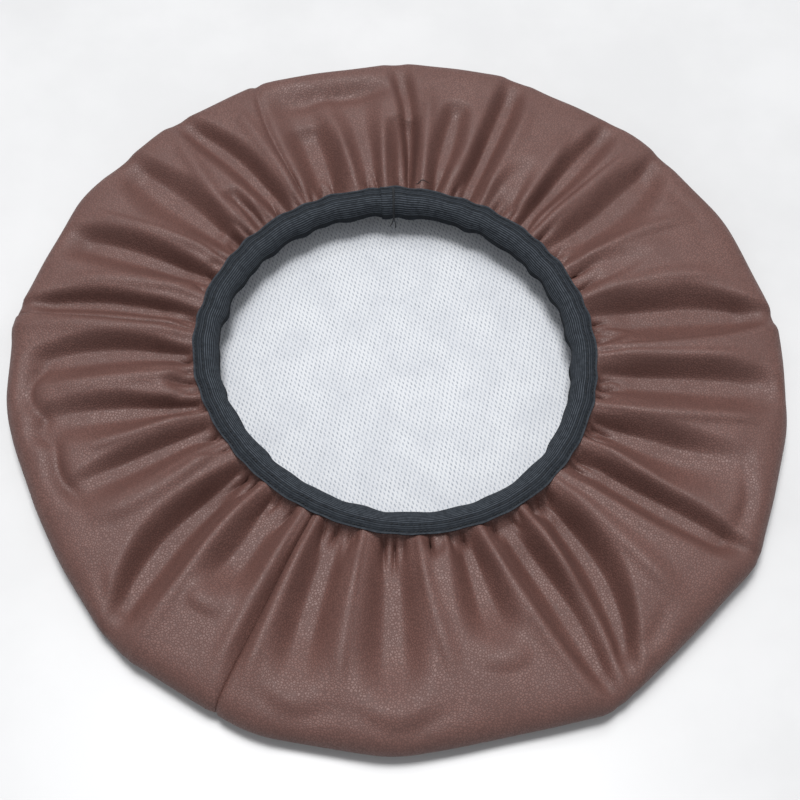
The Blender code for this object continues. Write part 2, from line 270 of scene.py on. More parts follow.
def fold_angle(fold, along):
    """The angle of a fold at a fraction of its way out: the cubic through its four angles."""
    angles = fold[0] + turned_from(np.array(fold[:4]), fold[0])
    return np.polyval(np.polyfit(FOLD_KNOTS, angles, 3), along)


def fold_height(fold, angle, radius, along):
    """How far a fold lifts or sinks the cloth, with its own width on each side."""
    height, before, after, reach = fold[4:]
    across = np.radians(turned_from(angle, fold_angle(fold, along))) * radius
    spread = (0.45 + 0.55 * smooth(along / 0.55)) * MM
    end = 1.0 if reach >= 1.0 else 1.0 - smooth((along - reach + 0.24) / 0.24)
    strength = (0.6 + 0.4 * smooth(along / 0.25)) * (1.0 - RIM_CALM * smooth((along - 0.60) / 0.40)) * end
    width = np.where(across < 0, before, after) * spread
    return FOLD_RELIEF * height * MM * strength * bell(across / width)


def hollow_height(hollow, angle, radius):
    """A hollow's flat floor, rounded walls and rounded tip. In the front half its tip swells up."""
    band_first, band_last, middle_first, middle_last, tip, tip_radius, tip_half, depth = hollow
    out = np.clip((radius - BAND_EDGE) / (tip_radius - BAND_EDGE), 0.0, None)
    first, second = smooth(out / 0.5), smooth((out - 0.5) / 0.5)
    halves = ((band_last - band_first) / 2, (middle_last - middle_first) / 2, tip_half)
    half = halves[0] + (halves[1] - halves[0]) * first + (halves[2] - halves[1]) * second
    places = ((band_first + band_last) / 2, (middle_first + middle_last) / 2, tip)
    bend = 2 * places[0] - 4 * places[1] + 2 * places[2]
    centre = places[0] + (places[2] - places[0]) * out + bend * (out * out - out)
    lean = HOLLOW_LEAN * math.cos(math.radians(tip))
    aside = turned_from(angle, centre) / half - lean
    across = np.abs(aside) / (1.0 - lean * np.sign(aside))
    share = (across**2.4 + out**18) ** (1 / 2.4)
    swelling = TIP_SWELL * smooth(-math.sin(math.radians(tip)) / 0.8) * smooth((tip_half - 2.0) / 2.0)
    floor = -(0.55 + 0.45 * smooth(out / 0.25)) * (1.0 - 0.2 * second) + 1.5 * swelling * second
    inside = 1.0 - smooth((share - HOLLOW_FLOOR) / (HOLLOW_EDGE - HOLLOW_FLOOR))
    calm = 1.0 - RIM_CALM * smooth((radius - 0.290) / 0.028)
    return HOLLOW_RELIEF * depth * MM * floor * inside * calm


def tuck_height(centre, lean, depth, width, reach, angle, radius, along):
    """A short pinch beside the band, wider and shallower further out."""
    across = np.radians(turned_from(angle, centre + lean * along)) * radius
    spread = width * (0.55 + 1.7 * np.clip(along, 0, 1)) * MM
    fading = 1.0 - smooth(along / reach)
    return -depth * MM * fading * bell(across / spread)


def pocket_height(pocket, angle, radius):
    """A hollow, or a lobe where its depth is negative, that ends in a rounded edge on its outer side."""
    centre, half_width, end_radius, lip, depth = pocket
    across = turned_from(angle, centre) / half_width
    out = np.clip((radius - FOLD_START) / (end_radius - FOLD_START), 0, None)
    distance = np.sqrt(across**2 + out**2)
    edge = bell((distance - 1.0) / 0.22) * smooth(out / 0.3)
    body = 1.0 - smooth((distance - 0.55) / 0.5)
    return (edge * lip - body * depth) * MM


def dent_depth(dent, angle, radius):
    """A crumple that runs round the rim, across the folds."""
    centre, half_span, middle, depth, width = dent
    across = turned_from(angle, centre) / half_span
    line = middle + 0.004 * np.cos(across * 2.2)
    return depth * MM * bell((radius - line) / (width * MM)) * bell(across)


def noise_waves(angle, radius, seed, count, low, high):
    """Broad, shallow unevenness: a few plane waves over the sheet, in seeded directions."""
    rng = np.random.default_rng(seed)
    x = radius * np.cos(np.radians(angle))
    y = radius * np.sin(np.radians(angle))
    total = np.zeros_like(x)
    for _ in range(count):
        heading = rng.uniform(0, 2 * math.pi)
        length = rng.uniform(low, high)
        phase = rng.uniform(0, 2 * math.pi)
        total += np.sin((x * math.cos(heading) + y * math.sin(heading)) * 2 * math.pi / length + phase)
    return total / math.sqrt(count)


SECTION, SECTION_LENGTH = curve_through(GUSSET_SECTION, 240)
SLANT = SECTION_LENGTH[-1]
# The folds start at this distance from the rim seam, and have grown to their full height after another.
FOLDS_BEGIN, FOLDS_GROW = 0.021, 0.026
# Under the band they are pressed to this share of their height, from this distance before the section's end.
PRESSED_SHARE, PRESSED_LENGTH, PRESSED_FADE = 0.12, 0.0165, 0.008
# Broad unevenness of the lying cloth: its height, seed, number of waves, and shortest and longest wave
UNEVENNESS = 0.0006
UNEVEN_WAVES = (5, 9, 0.05, 0.16)
# The mouth's outline fades out between this radius and this much further out.
MOUTH_REACH, MOUTH_FADE = 0.165, 0.05
# The gusset never comes closer to the floor than this.
LOWEST_CLOTH = 0.0012


def along_section(curve, length, places):
    """Radius and height at places along a section, and the outward direction there."""
    run = np.gradient(curve, length, axis=0)
    radius, height, run_r, run_z = (np.interp(places, length, column) for column in (*curve.T, *run.T))
    return radius, height, run_z, -run_r


def gusset_surface(angle, slant):
    """Points of the gusset's middle surface at angles and distances from the rim seam."""
    radius, height, normal_r, normal_z = along_section(SECTION, SECTION_LENGTH, slant)
    mouth_radius = GUSSET_SECTION[-1][0]
    rimward = smooth((radius - mouth_radius) / (RIM_RADIUS - mouth_radius))
    along = (radius - FOLD_START) / (FOLD_END - FOLD_START)

    folding = sum(fold_height(fold, angle, radius, along) for fold in FOLDS)
    folding += sum(pocket_height(pocket, angle, radius) for pocket in POCKETS)
    folding += sum(hollow_height(hollow, angle, radius) for hollow in HOLLOWS)
    folding -= sum(dent_depth(dent, angle, radius) for dent in DENTS)
    rng = np.random.default_rng(TUCK_SEED)
    for tuck in SMALL_TUCKS:
        shape = (rng.uniform(*limits) for limits in TUCK_LIMITS)
        folding += tuck_height(tuck, *shape, angle, radius, along)
    folding += RIDGE_LIFT_MM * MM * smooth(along / 0.2)
    folding += UNEVENNESS * noise_waves(angle, radius, *UNEVEN_WAVES)

    leaving_floor = smooth((slant - FOLDS_BEGIN) / FOLDS_GROW)
    under_band = smooth((slant - (SLANT - PRESSED_LENGTH)) / PRESSED_FADE)
    entering_band = 1.0 - (1.0 - PRESSED_SHARE) * under_band
    folding = folding * leaving_floor * entering_band
    radius = radius + (soft_rim(angle) - RIM_RADIUS) * rimward
    near_mouth = 1.0 - smooth((radius - MOUTH_REACH) / MOUTH_FADE)
    radius = radius + round_trip(MOUTH_OUTLINE, angle) * MM * near_mouth
    height = np.maximum(height + folding * normal_z, LOWEST_CLOTH)
    return on_circle(radius + folding * normal_r, height, angle)


# ---------------- meshes
def add_object(name, data):
    item = bpy.data.objects.new(name, data)
    bpy.context.scene.collection.objects.link(item)
    return item


def add_piece(name, points, faces, material):
    """A smooth mesh object from points and a list of faces."""
    mesh = bpy.data.meshes.new(name)
    mesh.from_pydata(np.reshape(points, (-1, 3)).tolist(), [], faces)
    mesh.validate()
    mesh.shade_smooth()
    mesh.materials.append(material)
    return add_object(name, mesh)


def keep_rest(piece, values=None, name="rest"):
    """Stores a vector on each point, so that a pattern stays on the cloth when it moves."""
    mesh = piece.data
    if values is None:
        values = np.zeros(len(mesh.vertices) * 3, np.float32)
        mesh.vertices.foreach_get("co", values)
    attribute = mesh.attributes.new(name, "FLOAT_VECTOR", "POINT")
    attribute.data.foreach_set("vector", np.asarray(values, np.float32).ravel())
    return piece


def surface_normals(grid):
    """Unit normals of a grid of points, columns first."""
    across = np.gradient(grid, axis=0)
    along = np.gradient(grid, axis=1)
    normal = np.cross(across, along)
    return normal / np.linalg.norm(normal, axis=-1, keepdims=True)


def slab_faces(columns, rows, closed):
    """Faces of a closed slab whose outer grid is followed by its inner grid."""
    index = np.arange(columns * rows).reshape(columns, rows)
    shift = columns * rows
    left = index if closed else index[:-1]
    right = np.roll(index, -1, axis=0) if closed else index[1:]
    outer = np.stack([left[:, :-1], right[:, :-1], right[:, 1:], left[:, 1:]], axis=-1).reshape(-1, 4)
    borders = [(left[:, 0], right[:, 0]), (right[:, -1], left[:, -1])]
    if not closed:
        borders += [(index[0, 1:], index[0, :-1]), (index[-1, :-1], index[-1, 1:])]
    walls = [np.stack([a, a + shift, b + shift, b], axis=-1) for a, b in borders]
    return np.concatenate([outer, outer[:, ::-1] + shift] + walls).tolist()


def sheet_between(name, outer, inner, closed, material):
    """A sheet between two grids of points."""
    return add_piece(name, np.concatenate([outer, inner]), slab_faces(*outer.shape[:2], closed), material)


def slab(name, grid, inner, outer, material):
    """A sheet between two distances out from a grid of points."""
    normals = surface_normals(grid)
    return keep_rest(sheet_between(name, grid + normals * outer, grid + normals * inner, False, material))


def unit(vectors):
    return vectors / np.maximum(np.linalg.norm(vectors, axis=-1, keepdims=True), 1e-9)


def circles(side, lift, sides):
    """A unit circle of points for each pair of directions across a thread."""
    turn = np.linspace(0, 2 * math.pi, sides, endpoint=False)[None, :, None]
    return side[:, None] * np.cos(turn) + lift[:, None] * np.sin(turn)


def add_threads(name, points, material):
    """Threads with closed ends from points that run thread by thread and station by station."""
    count, stations, sides = points.shape[:3]
    index = np.arange(count * stations * sides).reshape(count, stations, sides)
    near, far = index[:, :-1], index[:, 1:]
    walls = np.stack([near, np.roll(near, -1, axis=2), np.roll(far, -1, axis=2), far], axis=-1)
    caps = index[:, 0, ::-1].tolist() + index[:, -1].tolist()
    return keep_rest(add_piece(name, points, walls.reshape(-1, 4).tolist() + caps, material))


def stitches(name, starts, ends, ups, radius, arch, material):
    """Short stitches: each a thread that rises out of the cloth, bows, and dives back."""
    stations, sides = 6, 6
    starts, ends, ups = (np.asarray(value, float) for value in (starts, ends, ups))
    t = np.linspace(0.0, 1.0, stations)[None, :, None]
    spine = starts[:, None] * (1 - t) + ends[:, None] * t + ups[:, None] * arch * (np.sin(np.pi * t) - 0.35)
    run = unit(ends - starts)
    side = unit(np.cross(run, ups))
    ring = circles(side, np.cross(side, run), sides)
    thickness = radius * (0.55 + 0.45 * np.sin(np.pi * np.linspace(0, 1, stations)) ** 0.5)
    points = spine[:, :, None] + ring[:, None] * thickness[None, :, None, None]
    return add_threads(name, points, material)


def sections_of(rows):
    """Distances along the gusset's section, closest together over its middle."""
    share = np.linspace(0.0, 1.0, rows)
    crowding = 0.10 * np.sin(2 * math.pi * share) * share
    return SLANT * np.clip(share + crowding, 0, 1)


# How the cloth turns in at a seam: (distance from the seam in mm, depth in mm)
SEAM_TURN = ((3.0, 0.0), (2.0, 0.10), (1.3, 0.35), (0.8, 0.80), (0.55, 1.5), (0.5, 2.6), (0.5, 4.0))
# Degrees to either side of a seam that its normals are taken over
SEAM_SAMPLE = 0.05


def seam_line(seam, slant):
    """Points of the gusset along a seam, and its outward normals there."""
    beside = (seam - SEAM_SAMPLE, seam, seam + SEAM_SAMPLE)
    here = gusset_surface(*np.meshgrid(beside, slant, indexing="ij"))
    return here[1], surface_normals(here)[1]


def gusset_grid(first, last, step, rows, turned_in):
    """A grid over one length of the gusset. Its two ends turn in to the seams, if asked."""
    slant = sections_of(rows)
    count = round((last - first) / step)
    angles = first + (last - first) * np.arange(count + 1) / count
    if not turned_in:
        return gusset_surface(*np.meshgrid(angles, slant, indexing="ij"))
    grid = gusset_surface(*np.meshgrid(angles[3:-3], slant, indexing="ij"))
    ends = []
    for seam, way in ((first, 1.0), (last, -1.0)):
        line, normal = seam_line(seam, slant)
        columns = []
        for offset, depth in SEAM_TURN:
            angle = seam + way * np.degrees(offset * MM / np.hypot(line[:, 0], line[:, 1]))
            columns.append(gusset_surface(angle, slant) - normal * depth * MM)
        ends.append(columns)
    return np.concatenate([np.array(ends[0][::-1]), grid, np.array(ends[1])])


# ---------------- materials
class Nodes:
    """A material's node tree, with short ways to add and link nodes."""

    def __init__(self, name):
        self.material = bpy.data.materials.new(name)
        self.material.use_nodes = True
        self.tree = self.material.node_tree
        self.shader = self.tree.nodes["Principled BSDF"]

    def fill(self, node, values):
        for key, value in values.items():
            if isinstance(value, bpy.types.NodeSocket):
                self.tree.links.new(value, node.inputs[key])
            else:
                node.inputs[key].default_value = value

    def add(self, kind, settings=None, **inputs):
        node = self.tree.nodes.new(kind)
        for key, value in (settings or {}).items():
            setattr(node, key, value)
        self.fill(node, {key.replace("_", " "): value for key, value in inputs.items()})
        return node

    def math(self, operation, *values, kind="ShaderNodeMath"):
        node = self.add(kind, {"operation": operation})
        self.fill(node, dict(enumerate(values)))
        return node.outputs[0]

    def ramp(self, value, low, high, to_low=0.0, to_high=1.0):
        node = self.add("ShaderNodeMapRange", {"interpolation_type": "SMOOTHSTEP"}, Value=value, From_Min=low,
                        From_Max=high, To_Min=to_low, To_Max=to_high)
        return node.outputs["Result"]

    def noise(self, place, scale, detail=2.0, roughness=0.5):
        node = self.add("ShaderNodeTexNoise", Vector=place, Scale=scale, Detail=detail, Roughness=roughness)
        return node.outputs["Fac"]

    def cells(self, place, scale, feature):
        node = self.add("ShaderNodeTexVoronoi", {"feature": feature}, Vector=place, Scale=scale)
        return node.outputs["Distance"]

    def mix(self, share, first, second):
        node = self.add("ShaderNodeMix", {"data_type": "RGBA"})
        self.fill(node, {0: share, 6: first, 7: second})
        return node.outputs[2]

    def rest(self, name="rest"):
        return self.add("ShaderNodeAttribute", {"attribute_name": name}).outputs["Vector"]

    def bump(self, height, strength, distance):
        node = self.add("ShaderNodeBump", Strength=strength, Distance=distance, Height=height)
        return node.outputs["Normal"]

    def finish(self, colour, roughness, specular, normal=None, sheen=0.0):
        self.fill(self.shader, {"Base Color": colour, "Roughness": roughness, "Sheen Weight": sheen,
                                "Specular IOR Level": specular})
        if normal:
            self.fill(self.shader, {"Normal": normal})
        return self.material


def leatherette():
    """Brown PVC leather: a fine pebble grain, darker and matt in its furrows, in broad patches of two browns,
    with rougher scuffs.
    """
    n = Nodes("brown_leatherette")
    place = n.rest()
    warp = n.add("ShaderNodeTexNoise", Vector=place, Scale=520.0, Detail=2.0)
    reach = (0.0016, 0.0016, 0.0016)
    moved = n.math("MULTIPLY_ADD", warp.outputs["Color"], reach, place, kind="ShaderNodeVectorMath")
    pebble = n.ramp(n.cells(moved, 470.0, "DISTANCE_TO_EDGE"), 0.0, 0.24)
    wrinkles = n.ramp(n.cells(moved, 1150.0, "DISTANCE_TO_EDGE"), 0.0, 0.3)
    patches = n.noise(place, 26.0, 4.0, 0.55)
    scuffs = n.noise(place, 140.0, 3.0, 0.6)
    share = n.ramp(patches, 0.32, 0.68)
    tone = n.mix(share, (0.107, 0.0475, 0.0385, 1), (0.130, 0.0600, 0.0490, 1))
    colour = n.mix(pebble, (0.078, 0.034, 0.0275, 1), tone)
    relief = n.math("MULTIPLY_ADD", wrinkles, 0.22, pebble)
    rough = n.ramp(scuffs, 0.3, 0.7, 0.47, 0.54)
    rough = n.math("MULTIPLY_ADD", n.math("SUBTRACT", 1.0, pebble), 0.12, rough)
    return n.finish(colour, rough, 0.45, n.bump(relief, 0.6, 0.00023))


def knit(name, lining):
    """White knitted polyester: fuzzy yarn. The lining's holes are painted spots, darkened deep down as
    painted shade.
    """
    n = Nodes(name)
    place = n.rest()
    fibres = n.noise(place, 2600.0, 3.0, 0.7)
    patches = n.noise(place, 30.0, 3.0)
    tone = n.mix(n.ramp(patches, 0.3, 0.7), (0.465, 0.476, 0.502, 1), (0.53, 0.54, 0.56, 1))
    colour = n.mix(n.ramp(fibres, 0.3, 0.7, 0.0, 0.25), tone, (0.60, 0.62, 0.65, 1))
    relief = fibres
    if lining:
        # Painted shade: grey spots for the shadow deep in the lining's holes, which are not modelled.
        depth = n.ramp(n.cells(place, 290.0, "F1"), 0.16, 0.34)
        colour = n.mix(depth, (0.40, 0.42, 0.45, 1), colour)
        relief = n.math("MULTIPLY_ADD", depth, 3.0, relief)
    rough = n.ramp(patches, 0.3, 0.7, 0.82, 0.92)
    return n.finish(colour, rough, 0.25, n.bump(relief, 0.5, 0.00015), sheen=0.15)


def knit_hole_shade():
    """The floors of the knit's holes: the underside seen down them, in a grey darkened as painted shade."""
    n = Nodes("knit_hole_shadow")
    shade = n.noise(n.rest(), 700.0)
    colour = n.mix(n.ramp(shade, 0.35, 0.65), (0.26, 0.28, 0.31, 1), (0.40, 0.42, 0.46, 1))
    return n.finish(colour, 0.95, 0.1, n.bump(shade, 0.4, 0.0001))


def elastic():
    """Black braided elastic. Its pattern runs on the band's own length (x) and width (y), in metres."""
    n = Nodes("black_elastic")
    place = n.rest("flat")
    parts = n.add("ShaderNodeSeparateXYZ", Vector=place)
    length, width = parts.outputs[0], parts.outputs[1]
    wefts = n.math("SINE", n.math("MULTIPLY", length, 2 * math.pi / 0.0011))
    warps = n.math("SINE", n.math("MULTIPLY", width, 2 * math.pi / 0.0008))
    weave = n.math("MULTIPLY", wefts, warps)
    fuzz = n.noise(place, 2400.0, 4.0, 0.75)
    wear = n.noise(place, 160.0, 3.0)
    share = n.ramp(wear, 0.35, 0.65)
    tone = n.mix(share, (0.0030, 0.0050, 0.0082, 1), (0.0060, 0.0090, 0.0132, 1))
    # Painted highlight: the raised ribs and edge cords are coloured lighter, in patches along the band, and
    # not in the sewn channels.
    rib_highlight = n.add("ShaderNodeAttribute", {"attribute_name": "rib_highlight"}).outputs["Fac"]
    rib_highlight_patches = n.noise(place, 210.0, 3.0, 0.65)
    shown = n.math("MULTIPLY", rib_highlight, n.ramp(rib_highlight_patches, 0.34, 0.60, 0.45, 1.0))
    raised = n.mix(shown, tone, (0.076, 0.088, 0.105, 1))
    threads = n.mix(n.ramp(weave, 0.0, 0.9, 0.0, 0.4), raised, (0.038, 0.043, 0.049, 1))
    colour = n.mix(n.ramp(fuzz, 0.55, 0.8, 0.0, 0.25), threads, (0.040, 0.044, 0.049, 1))
    relief = n.math("MULTIPLY_ADD", weave, 0.5, fuzz)
    return n.finish(colour, n.ramp(fuzz, 0.3, 0.7, 0.68, 0.86), 0.2, n.bump(relief, 0.8, 0.00030))


def thread(name, dark, light):
    """Spun thread: twisted plies, lighter where a fibre stands out."""
    n = Nodes(name)
    place = n.rest()
    twist = {"bands_direction": "DIAGONAL"}
    plies = n.add("ShaderNodeTexWave", twist, Vector=place, Scale=900.0, Distortion=2.0)
    fibres = n.noise(place, 3500.0)
    colour = n.mix(n.math("MULTIPLY", plies.outputs["Fac"], fibres), dark, light)
    rough = n.ramp(fibres, 0.3, 0.7, 0.55, 0.75)
    return n.finish(colour, rough, 0.35, n.bump(plies.outputs["Fac"], 0.5, 0.0001))


def floor_finish():
    """A pale, faintly polished floor."""
    n = Nodes("pale_floor")
    place = n.add("ShaderNodeNewGeometry").outputs["Position"]
    clouds = n.noise(place, 5.0, 5.0, 0.6)
    share = n.ramp(clouds, 0.35, 0.65)
    colour = n.mix(share, (0.515, 0.515, 0.518, 1), (0.545, 0.545, 0.548, 1))
    return n.finish(colour, n.ramp(clouds, 0.3, 0.7, 0.30, 0.38), 0.35)


LEATHER = leatherette()
KNIT = knit("white_knit", False)
LINING = knit("white_knit_lining", True)
# Painted shade for the floors of the knit's holes
HOLE_SHADE = knit_hole_shade()
ELASTIC = elastic()
BROWN_THREAD = thread("brown_thread", (0.030, 0.012, 0.010, 1), (0.13, 0.065, 0.055, 1))
BLACK_THREAD = thread("black_thread", (0.006, 0.007, 0.009, 1), (0.060, 0.064, 0.070, 1))


# ---------------- the face: leather disc and knitted backing
def outline_disc(name, inset, bottom, top, rings, material):
    """A disc with the rim's outline, with a rounded edge and a faintly uneven top."""
    angles = np.arange(0.0, 360.0, 1.0)
    share = np.sqrt(np.linspace(0.0004, 1.0, rings))
    edge = soft_rim(angles) - inset
    radius = edge[:, None] * share[None, :]
    turned = np.broadcast_to(angles[:, None], radius.shape)
    rounding = 0.5 * (top - bottom) * smooth((share - 0.996) / 0.004)[None, :]
    ripple = 0.00008 * noise_waves(turned, radius, 3, 8, 0.02, 0.09)
    outer = on_circle(radius, top - rounding + ripple, turned)
    inner = on_circle(radius, bottom + rounding, turned)
    piece = sheet_between(name, outer, inner, True, material)
    bm = bmesh.new()
    bm.from_mesh(piece.data)
    bmesh.ops.remove_doubles(bm, verts=[v for v in bm.verts if v.co.xy.length < 0.0001], dist=0.0001)
    bmesh.ops.recalc_face_normals(bm, faces=bm.faces)
    bm.to_mesh(piece.data)
    bm.free()
    piece.data.shade_smooth()
    return keep_rest(piece)


# The knit's holes repeat along two directions.
HOLE_STEP_A = np.array((-0.00070, -0.00383))
HOLE_STEP_B = np.array((0.00310, -0.00226))
# No diamond inside the rim is further from the middle than this many of either step.
HOLE_REACH = 100
HOLE_LONG, HOLE_SHORT = 0.00172, 0.00066
HOLED_RADIUS = 0.170
KNIT_DROP = 0.00034
# A hole's size varies by this share, from this seed.
HOLE_SIZES = (0.9, 1.1)
HOLE_SEED = 2
# The corners and middles of a diamond's sides, in halves of the two steps
AROUND = ((-1, -1), (0, -1), (1, -1), (1, 0), (1, 1), (0, 1), (-1, 1), (-1, 0))
HOLE_ALONG = unit(HOLE_STEP_A + HOLE_STEP_B)
HOLE_ACROSS = np.array((-HOLE_ALONG[1], HOLE_ALONG[0]))
# How far the yarn wanders from its even places, in wide and in fine waves
WIDE_DRIFT, FINE_DRIFT = 0.00035, 0.00025


def drift(x, y):
    return (WIDE_DRIFT * math.sin(x * 61 + y * 23 + 1.0) + FINE_DRIFT * math.sin(y * 97 - x * 31),
            WIDE_DRIFT * math.sin(y * 53 - x * 37 + 2.0) + FINE_DRIFT * math.sin(x * 89 + y * 41))


def diamond_outline(i, j, centre, holed, top, vertex):
    """A diamond's corners, and the middles of the sides that have a hole on either side."""
    around = []
    for a, b in AROUND:
        middle = a == 0 or b == 0
        neighbour = (i + (a if b == 0 else 0), j + (b if a == 0 else 0))
        if middle and (i, j) not in holed and neighbour not in holed:
            continue
        x, y = centre + a * HOLE_STEP_A / 2 + b * HOLE_STEP_B / 2
        lump = 0.00005 * math.sin(x * 900) + 0.00004 * math.sin(y * 1100 + x * 300)
        around.append(vertex((2 * i + a, 2 * j + b), x, y, top + lump - (0.00006 if middle else 0.0)))
    return around


def hole_lip(centre, grow):
    """Places round a slanted hole, one towards each of the diamond's outline points."""
    for a, b in AROUND:
        way = a * HOLE_STEP_A / 2 + b * HOLE_STEP_B / 2
        turn = math.atan2(way @ HOLE_ACROSS, way @ HOLE_ALONG)
        spot = HOLE_ALONG * math.cos(turn) * HOLE_LONG + HOLE_ACROSS * math.sin(turn) * HOLE_SHORT
        yield centre + spot * grow + drift(*centre)


def close_sheet(bm, inset, bottom):
    """Brings the border out to the rim's outline, and closes the side and the underside."""
    border = [edge for edge in bm.edges if edge.is_boundary]
    for vert in {v for edge in border for v in edge.verts}:
        flat = Vector((vert.co.x, vert.co.y))
        angle = math.degrees(math.atan2(flat.y, flat.x))
        flat = flat.normalized() * (float(soft_rim(angle)) - inset)
        vert.co = (flat.x, flat.y, vert.co.z)
    grown = bmesh.ops.extrude_edge_only(bm, edges=border)["geom"]
    for vert in (item for item in grown if isinstance(item, bmesh.types.BMVert)):
        vert.co.z = bottom
    edges = [item for item in grown if isinstance(item, bmesh.types.BMEdge) and item.is_boundary]
    bmesh.ops.contextual_create(bm, geom=edges)
    bmesh.ops.recalc_face_normals(bm, faces=bm.faces)


def knit_sheet(name, inset, bottom, top):
    """A diamond mesh of yarn, with a slanted hole in each diamond of the open middle."""
    counts = range(-HOLE_REACH, HOLE_REACH + 1)
    centres = {(i, j): i * HOLE_STEP_A + j * HOLE_STEP_B for i in counts for j in counts}
    centres = {place: centre for place, centre in centres.items() if math.hypot(*centre) < RIM_RADIUS - inset}
    holed = {place for place, centre in centres.items() if math.hypot(*centre) < HOLED_RADIUS}
    corners = {}
    points = []
    quads, holes, plains = [], [], []
    rng = np.random.default_rng(HOLE_SEED)

    def vertex(key, x, y, z):
        if key not in corners:
            dx, dy = drift(x, y)
            corners[key] = len(points)
            points.append((x + dx, y + dy, z))
        return corners[key]

    for (i, j), centre in centres.items():
        around = diamond_outline(i, j, centre, holed, top, vertex)
        if (i, j) not in holed:
            plains.append(around)
            continue
        first = len(points)
        points.extend((x, y, top - KNIT_DROP) for x, y in hole_lip(centre, rng.uniform(*HOLE_SIZES)))
        lip = list(range(first, first + len(AROUND)))
        quads.extend(zip(around, around[1:] + around[:1], lip[1:] + lip[:1], lip))
        holes.append(lip)
    bm = bmesh.new()
    verts = [bm.verts.new(point) for point in points]
    # The holes' floors take the second material, the painted hole shade.
    for group, slot in ((quads, 0), (holes, 1), (plains, 0)):
        for face in group:
            bm.faces.new([verts[k] for k in face]).material_index = slot
    close_sheet(bm, inset, bottom)
    mesh = bpy.data.meshes.new(name)
    bm.to_mesh(mesh)
    bm.free()
    mesh.shade_smooth()
    mesh.materials.append(KNIT)
    mesh.materials.append(HOLE_SHADE)
    return keep_rest(add_object(name, mesh))


FACE_INSET, KNIT_INSET = 0.016, 0.029
panel_low, panel_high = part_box("face_panel")
backing_low, backing_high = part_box("face_backing")
face = outline_disc("face_leather", FACE_INSET, panel_low.z, panel_high.z, 60, LEATHER)
backing = knit_sheet("face_knit", KNIT_INSET, backing_low.z, backing_high.z)

# ---------------- the gusset
LEATHER_ROWS, LINING_ROWS = 84, 60
LEATHER_STEP, LINING_STEP = 0.4, 0.5
# The lining lies this far under the gusset's middle surface, and stops this many degrees short of the seams.
LINING_DEPTH = 0.0017
LINING_SHORT = 0.6
gusset = {}
for length, first, last in (("long", FRONT_SEAM, LEFT_SEAM + 360.0), ("short", LEFT_SEAM, FRONT_SEAM)):
    grid = gusset_grid(first, last, LEATHER_STEP, LEATHER_ROWS, True)
    gusset["leather_" + length] = slab(
        "gusset_leather_" + length, grid, GAP / 2, GAP / 2 + LEATHER_THICKNESS, LEATHER)
    grid = gusset_grid(first + LINING_SHORT, last - LINING_SHORT, LINING_STEP, LINING_ROWS, False)
    gusset["lining_" + length] = slab(
        "gusset_lining_" + length, grid, -LINING_DEPTH - BACKING_THICKNESS, -LINING_DEPTH, LINING)

# ---------------- the elastic band
BAND_RADIUS, BAND_WIDTH = 0.155, 0.029
BAND_ROWS = 110
BAND_STEP = 0.5
RIB_COUNT = 14
RIB_FIRST, RIB_LAST = 0.05, 0.80
RIB_WIDTH = 0.012
RIB_HEIGHT = 0.00026
CORD_HEIGHT, CHANNEL_DEPTH, FINE_HEIGHT = 0.00030, 0.00032, 0.00004
STITCH_CHANNELS = (0.085, 0.27)
# The band's overlapping end lies this much higher. Its turn is measured from its lower end.
LAP_LIFT = GAP + BAND_THICKNESS
near_end = LAP_MIDDLE - LAP_SPAN / 2


def band_surface(fraction, turned, offset):
    """Points of the band's middle surface, offset outward."""
    section, length = curve_through(BAND_SECTION, 120)
    radius, height, out_r, out_z = along_section(section, length, fraction * length[-1])
    angle = near_end + turned
    front = 0.5 - 0.5 * np.sin(np.radians(angle))
    inward = smooth((fraction - 0.45) / 0.55)
    radius = radius - inward * (0.0028 * front - 0.0004)
    height = height + inward * (0.0050 * front - 0.0022 * (1 - front))
    waves = (np.sin(np.radians(angle * 37 + 20)) + 0.7 * np.sin(np.radians(angle * 23 + 75))
             + 0.6 * np.sin(np.radians(angle * 51 + 190)))
    edge = np.abs(2 * fraction - 1) ** 2
    radius = radius + 0.00040 * waves * (0.35 + 0.65 * edge) + round_trip(MOUTH_OUTLINE, angle) * MM
    scallops = np.sin(np.radians(angle * 26)) + 0.6 * np.sin(np.radians(angle * 19 + 60))
    radius = radius + 0.00075 * scallops * inward
    height = height + 0.00045 * np.roll(waves, 3) * (0.3 + 0.7 * edge)
    climb = LAP_LIFT * smooth((turned - 360.0 + LAP_SPAN) / LAP_SPAN)
    return on_circle(radius + out_r * (offset + climb), height + out_z * (offset + climb), angle)


def band_relief(fraction):
    """Height of the ribs, the edge cords and the sewn channels across the band, and how ribbed it is: the
    share that the elastic's painted highlight follows.
    """
    places = np.linspace(RIB_FIRST, RIB_LAST, RIB_COUNT)
    ribs = sum(bell((fraction - place) / RIB_WIDTH) * (0.35 + 0.65 * smooth((place - 0.1) / 0.3))
               for place in places)
    cord = bell((fraction - 0.018) / 0.018) + 0.6 * bell((fraction - 0.985) / 0.015)
    channels = sum(bell((fraction - place) / 0.022) for place in STITCH_CHANNELS)
    fine = np.sin(fraction * 2 * math.pi / 0.028)
    ribs = ribs * (1.0 - 0.8 * np.clip(channels, 0, 1))
    height = RIB_HEIGHT * ribs + CORD_HEIGHT * cord - CHANNEL_DEPTH * channels + FINE_HEIGHT * fine
    return height, np.clip(ribs + 0.6 * cord, 0, 1)


